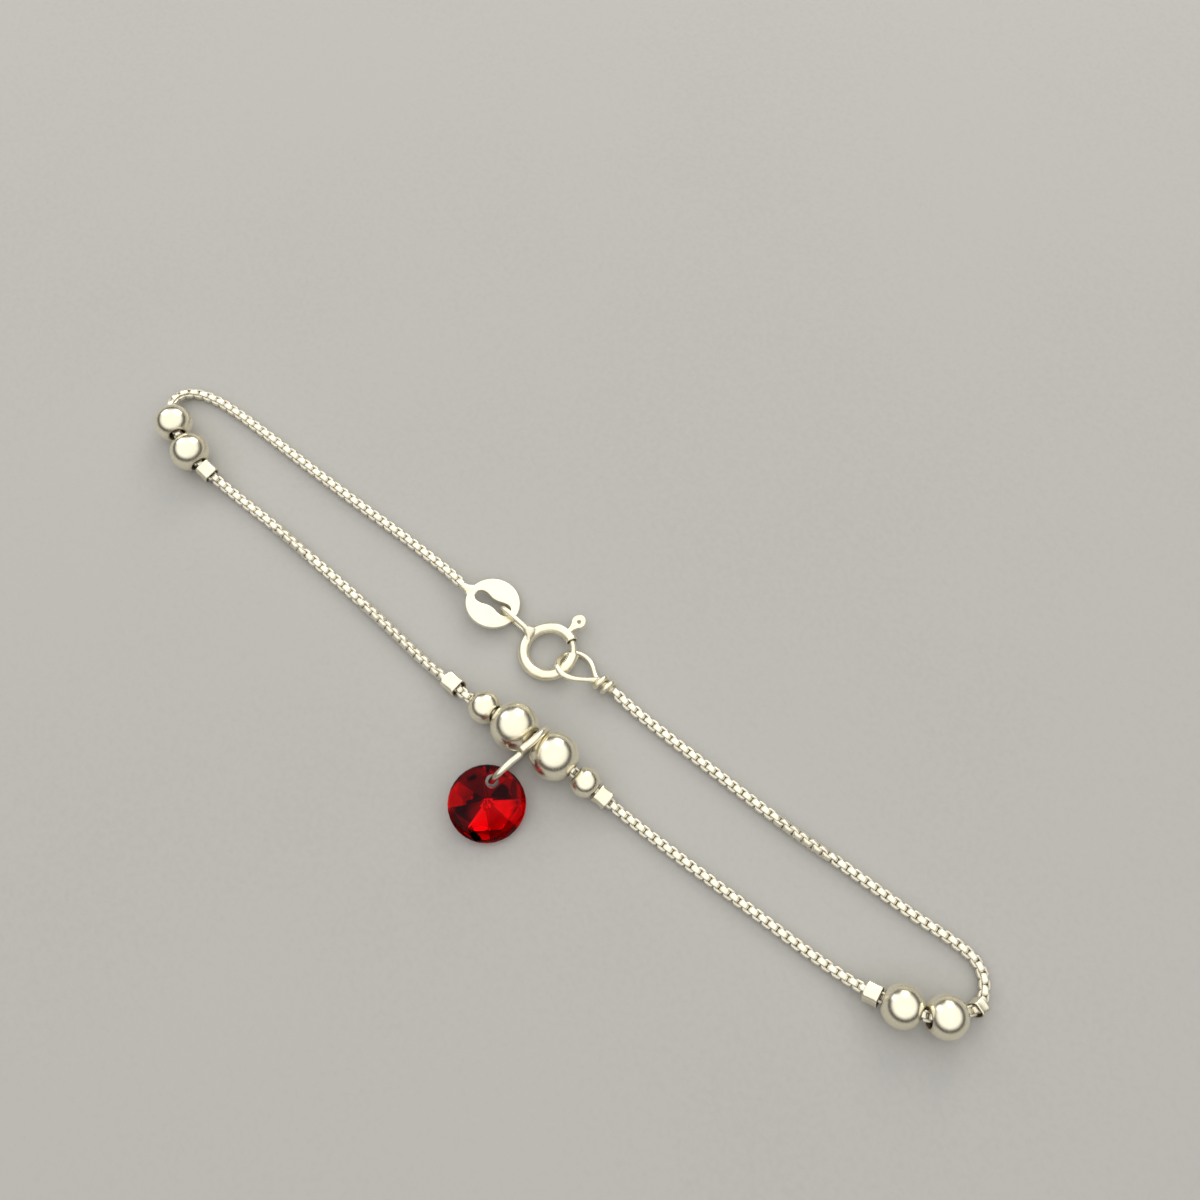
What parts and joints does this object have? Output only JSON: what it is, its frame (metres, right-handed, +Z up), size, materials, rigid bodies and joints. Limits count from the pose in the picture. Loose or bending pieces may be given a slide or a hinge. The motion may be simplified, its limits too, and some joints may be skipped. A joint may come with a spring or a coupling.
{
  "type": "bracelet",
  "caption": "Fine silver box-chain bracelet with round beads, a spring-ring clasp and one round red faceted crystal drop, lying closed on a flat surface.",
  "frame": {"origin": "on the surface that the bracelet lies on, under the middle of its outline", "axes": "+X along the loop from the left bend to the right bend, +Y towards the run of chain with the clasp, +Z up"},
  "size_m": [0.1014, 0.0239, 0.0046],
  "materials": {
    "chain_silver": "fine polished box links, soft sheen",
    "bead_silver": "polished, lightly worn and warm toned",
    "crimp_silver": "pressed flat, lightly worn",
    "clasp_silver": "polished, lightly worn",
    "wire_silver": "drawn wire, polished",
    "red_crystal": "clear deep red faceted glass"
  },
  "bodies": {
    "bracelet": {"box_chain": "chain_silver", "left_bead_1": "bead_silver", "left_bead_2": "bead_silver", "center_small_bead_left": "bead_silver", "center_big_bead_left": "bead_silver", "center_big_bead_right": "bead_silver", "center_small_bead_right": "bead_silver", "right_bead_1": "bead_silver", "right_bead_2": "bead_silver", "left_crimp": "crimp_silver", "center_crimp_left": "crimp_silver", "center_crimp_right": "crimp_silver", "right_crimp": "crimp_silver", "end_crimp": "crimp_silver", "clasp_tag": "clasp_silver", "spring_ring": "clasp_silver", "wire_loop": "wire_silver", "jump_ring": "wire_silver", "crystal_drop": "red_crystal"},
    "lever": {"clasp_lever": "clasp_silver"}
  },
  "joints": [
    {"name": "lever_slide_round", "type": "hinge", "parent": "bracelet", "child": "lever", "pos_m": [-0.00092, 0.0072, 0.00087], "axis": [-0.0872, -0.0695, 0.9938], "range_deg": [0, 40], "stiffness_Nm_per_rad": 0.0005, "springref_deg": -11.46}
  ]
}
